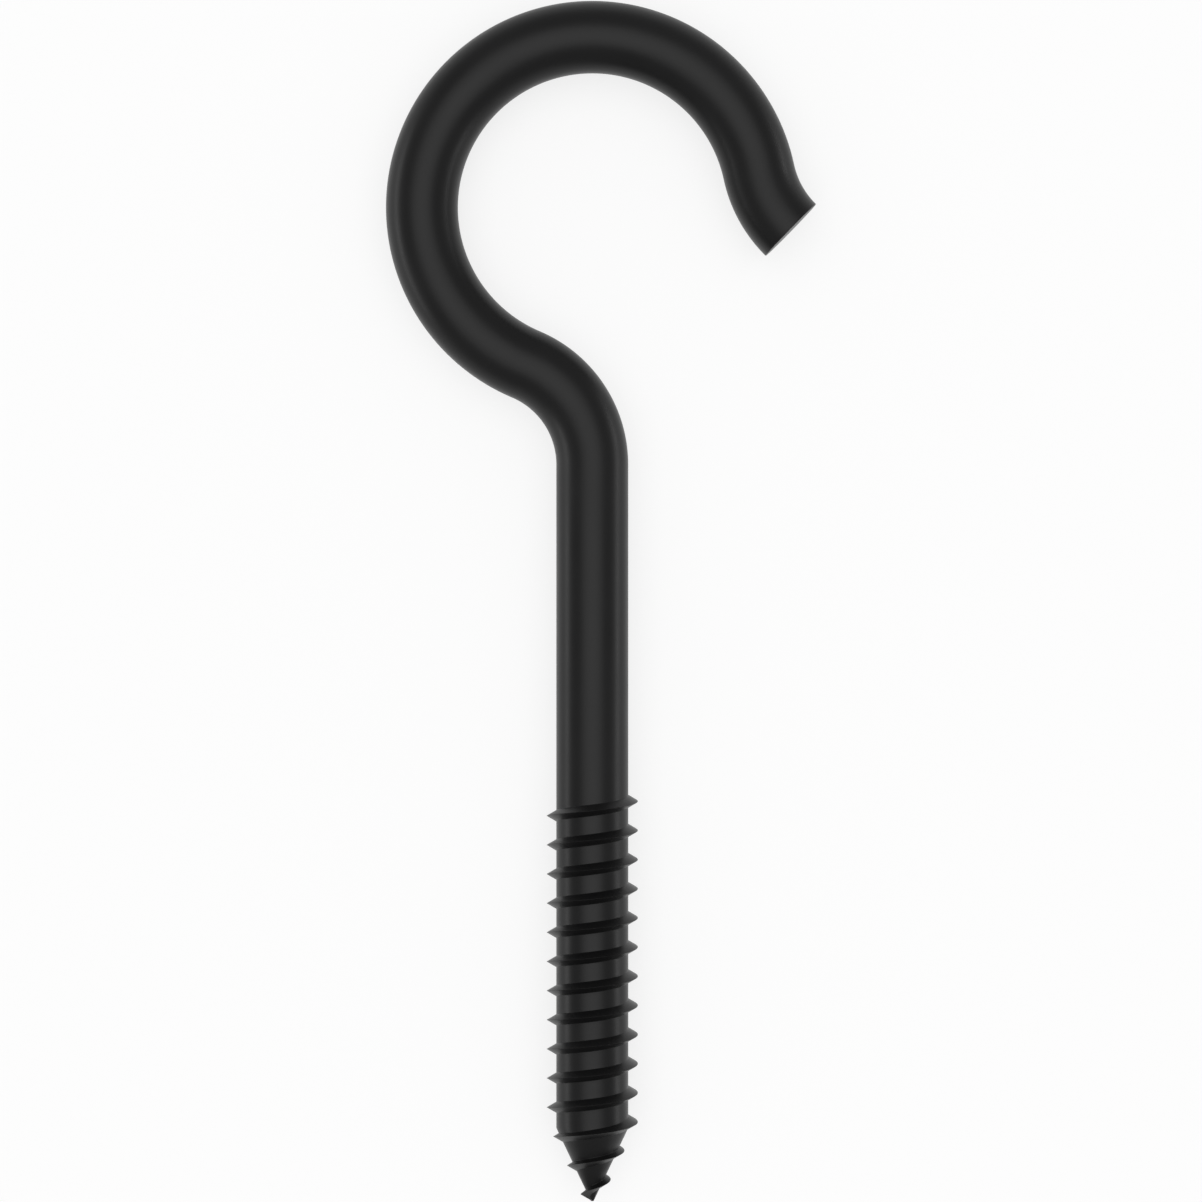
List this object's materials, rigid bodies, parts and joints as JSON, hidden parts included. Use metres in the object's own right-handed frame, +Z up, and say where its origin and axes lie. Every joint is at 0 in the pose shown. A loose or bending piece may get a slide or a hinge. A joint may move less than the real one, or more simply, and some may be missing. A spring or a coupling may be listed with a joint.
{
  "type": "screw hook",
  "caption": "Screw-in hook of bent round wire: an open eye with a flared lip, a plain shank, and a coarse wood thread running out to a point.",
  "frame": {"origin": "middle of the hook's box in plan, on the surface that the hook lies on, under its lowest thread crest", "axes": "+Y along the shank from the point to the crown of the eye, +X to the side of the lip, +Z up, square to the plane of the hook"},
  "size_m": [0.0358, 0.1, 0.0076],
  "materials": {
    "black_coat": "satin black coating over bent steel wire"
  },
  "bodies": {
    "root": {"screw_hook": "black_coat"}
  },
  "joints": []
}
